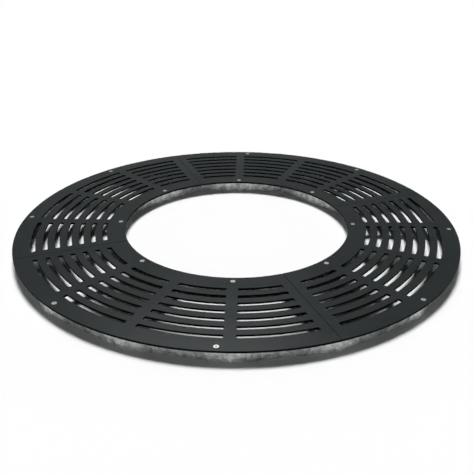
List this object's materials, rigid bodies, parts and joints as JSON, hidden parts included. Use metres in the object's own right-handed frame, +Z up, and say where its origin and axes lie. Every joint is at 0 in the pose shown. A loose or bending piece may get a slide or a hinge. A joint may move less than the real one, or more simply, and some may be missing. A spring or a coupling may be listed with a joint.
{
  "type": "tree grate",
  "caption": "Round steel tree grate: slotted, powder-coated cover segments screwed down on a bolted, galvanised flat-bar frame around a central opening for the trunk.",
  "frame": {"origin": "on the ground plane, at the middle of the tree opening", "axes": "+Z up, square to the cover; the seams between the quarters lie on the X and Y axes"},
  "size_m": [1.2, 1.2, 0.035],
  "materials": {
    "cover_coat": "dark grey powder coat, satin",
    "frame_zinc": "hot-dip galvanised, mottled",
    "screw_stainless": "bright stainless steel",
    "fastener_zinc": "zinc plated"
  },
  "bodies": {
    "frame": {"outer_ring_bar_1": "frame_zinc", "outer_ring_bar_2": "frame_zinc", "outer_ring_bar_3": "frame_zinc", "outer_ring_bar_4": "frame_zinc", "outer_ring_bar_5": "frame_zinc", "outer_ring_bar_6": "frame_zinc", "outer_ring_bar_7": "frame_zinc", "outer_ring_bar_8": "frame_zinc", "outer_ring_bar_9": "frame_zinc", "outer_ring_bar_10": "frame_zinc", "outer_ring_bar_11": "frame_zinc", "outer_ring_bar_12": "frame_zinc", "outer_ring_bar_13": "frame_zinc", "outer_ring_bar_14": "frame_zinc", "outer_ring_bar_15": "frame_zinc", "outer_ring_bar_16": "frame_zinc", "inner_ring_bar_1": "frame_zinc", "inner_ring_bar_2": "frame_zinc", "inner_ring_bar_3": "frame_zinc", "inner_ring_bar_4": "frame_zinc", "inner_ring_bar_5": "frame_zinc", "inner_ring_bar_6": "frame_zinc", "inner_ring_bar_7": "frame_zinc", "inner_ring_bar_8": "frame_zinc", "first_seam_bar_1": "frame_zinc", "centre_bar_1": "frame_zinc", "last_seam_bar_1": "frame_zinc", "seam_bolts_1": "fastener_zinc", "seam_washers_1": "fastener_zinc", "seam_nuts_1": "fastener_zinc", "first_seam_bar_2": "frame_zinc", "centre_bar_2": "frame_zinc", "last_seam_bar_2": "frame_zinc", "seam_bolts_2": "fastener_zinc", "seam_washers_2": "fastener_zinc", "seam_nuts_2": "fastener_zinc", "first_seam_bar_3": "frame_zinc", "centre_bar_3": "frame_zinc", "last_seam_bar_3": "frame_zinc", "seam_bolts_3": "fastener_zinc", "seam_washers_3": "fastener_zinc", "seam_nuts_3": "fastener_zinc", "first_seam_bar_4": "frame_zinc", "centre_bar_4": "frame_zinc", "last_seam_bar_4": "frame_zinc", "seam_bolts_4": "fastener_zinc", "seam_washers_4": "fastener_zinc", "seam_nuts_4": "fastener_zinc"},
    "cover_1": {"cover_plate_1": "cover_coat", "cover_screws_1": "screw_stainless"},
    "cover_2": {"cover_plate_2": "cover_coat", "cover_screws_2": "screw_stainless"},
    "cover_3": {"cover_plate_3": "cover_coat", "cover_screws_3": "screw_stainless"},
    "cover_4": {"cover_plate_4": "cover_coat", "cover_screws_4": "screw_stainless"}
  },
  "joints": [
    {"name": "cover_lift_1", "type": "slide", "parent": "frame", "child": "cover_1", "axis": [0, 0, 1], "range_m": [0, 0.25]},
    {"name": "cover_lift_2", "type": "slide", "parent": "frame", "child": "cover_2", "axis": [0, 0, 1], "range_m": [0, 0.25]},
    {"name": "cover_lift_3", "type": "slide", "parent": "frame", "child": "cover_3", "axis": [0, 0, 1], "range_m": [0, 0.25]},
    {"name": "cover_lift_4", "type": "slide", "parent": "frame", "child": "cover_4", "axis": [0, 0, 1], "range_m": [0, 0.25]}
  ]
}
